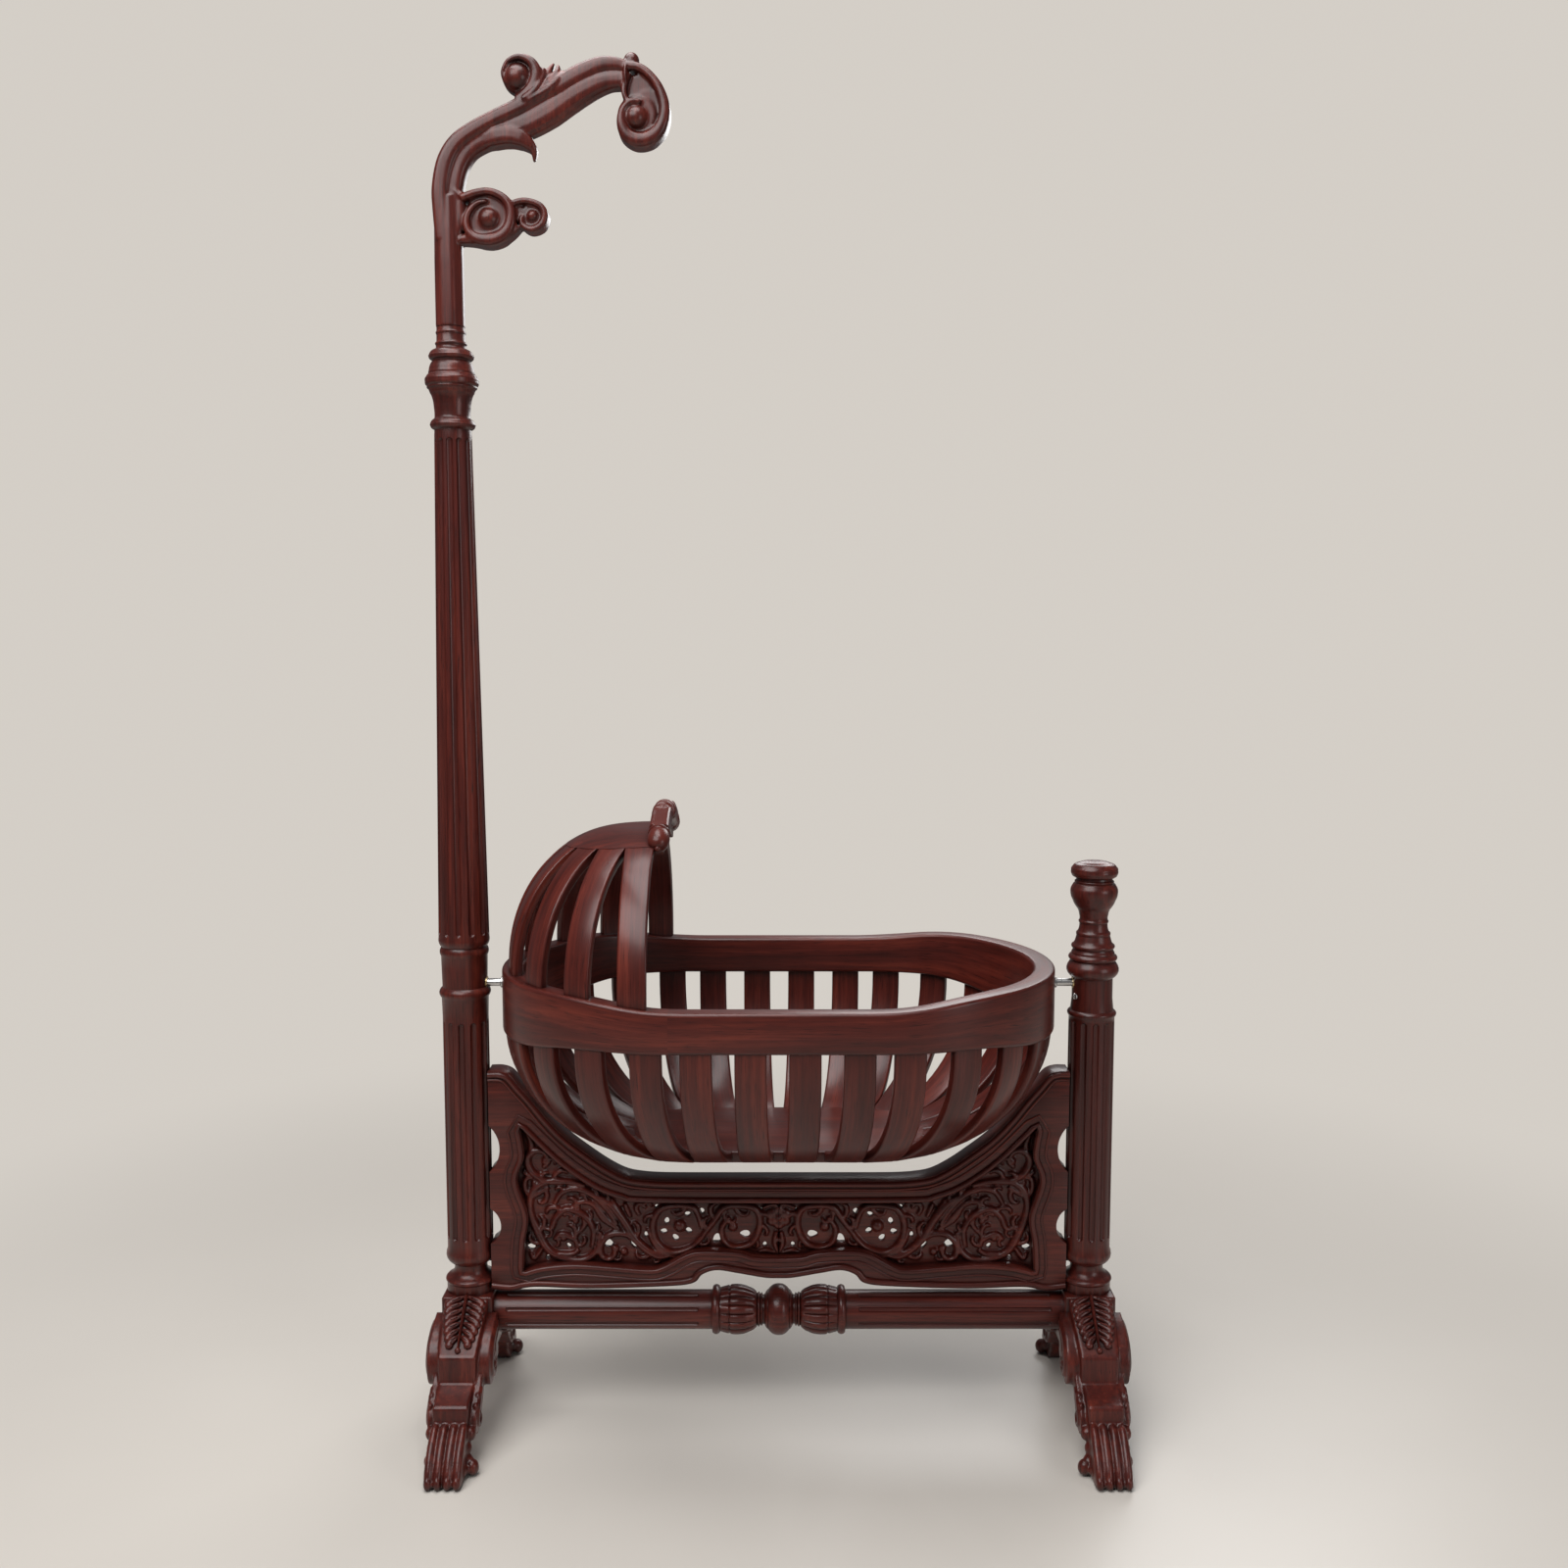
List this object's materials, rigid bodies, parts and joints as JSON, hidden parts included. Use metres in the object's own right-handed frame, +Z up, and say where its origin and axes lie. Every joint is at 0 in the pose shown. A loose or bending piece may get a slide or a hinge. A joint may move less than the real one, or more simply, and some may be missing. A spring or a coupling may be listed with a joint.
{
  "type": "carved swing cradle",
  "caption": "Carved wooden cradle: a slatted oval basket with a part hood swings on steel pins between two fluted posts with a canopy crook, claw feet, apron panel and stretcher.",
  "frame": {"origin": "on the floor midway between the two posts, under the cradle's long axis", "axes": "+X along the cradle from the tall post towards the short post, +Y across towards the back, +Z up"},
  "size_m": [0.978, 0.498, 1.8983],
  "materials": {
    "lacquered_wood": "dark red-brown hardwood under glossy lacquer",
    "dowel_wood": "plain turned hardwood dowel",
    "pivot_steel": "bright turned steel",
    "bush_brass": "plain brass"
  },
  "bodies": {
    "stand": {"tall_post": "lacquered_wood", "short_post": "lacquered_wood", "canopy_crook": "lacquered_wood", "front_left_leg": "lacquered_wood", "back_left_leg": "lacquered_wood", "front_right_leg": "lacquered_wood", "back_right_leg": "lacquered_wood", "stretcher": "lacquered_wood", "apron_panel": "lacquered_wood", "panel_scrollwork": "lacquered_wood", "left_pivot_bush": "bush_brass", "right_pivot_bush": "bush_brass", "bush_set_screw": "pivot_steel", "leg_dowels": "dowel_wood", "panel_dowels": "dowel_wood"},
    "basket": {"back_slat_1": "lacquered_wood", "back_slat_2": "lacquered_wood", "back_slat_3": "lacquered_wood", "back_slat_4": "lacquered_wood", "bottom_board": "lacquered_wood", "crest_handle": "lacquered_wood", "foot_slat_1": "lacquered_wood", "foot_slat_10": "lacquered_wood", "foot_slat_2": "lacquered_wood", "foot_slat_3": "lacquered_wood", "foot_slat_4": "lacquered_wood", "foot_slat_5": "lacquered_wood", "foot_slat_6": "lacquered_wood", "foot_slat_7": "lacquered_wood", "foot_slat_8": "lacquered_wood", "foot_slat_9": "lacquered_wood", "front_slat_1": "lacquered_wood", "front_slat_2": "lacquered_wood", "front_slat_3": "lacquered_wood", "front_slat_4": "lacquered_wood", "head_slat_1": "lacquered_wood", "head_slat_10": "lacquered_wood", "head_slat_2": "lacquered_wood", "head_slat_3": "lacquered_wood", "head_slat_4": "lacquered_wood", "head_slat_5": "lacquered_wood", "head_slat_6": "lacquered_wood", "head_slat_7": "lacquered_wood", "head_slat_8": "lacquered_wood", "head_slat_9": "lacquered_wood", "hood_crown": "lacquered_wood", "hood_slat_1": "lacquered_wood", "hood_slat_2": "lacquered_wood", "hood_slat_3": "lacquered_wood", "hood_slat_4": "lacquered_wood", "hood_slat_5": "lacquered_wood", "hood_slat_6": "lacquered_wood", "hood_slat_7": "lacquered_wood", "hood_slat_8": "lacquered_wood", "hood_slat_9": "lacquered_wood", "left_pivot_pin": "pivot_steel", "right_pivot_pin": "pivot_steel", "rim_band": "lacquered_wood"}
  },
  "joints": [
    {"name": "basket_swing", "type": "hinge", "parent": "stand", "child": "basket", "pos_m": [0, 0, 0.636], "axis": [1, 0, 0], "range_deg": [-30, 30]}
  ]
}
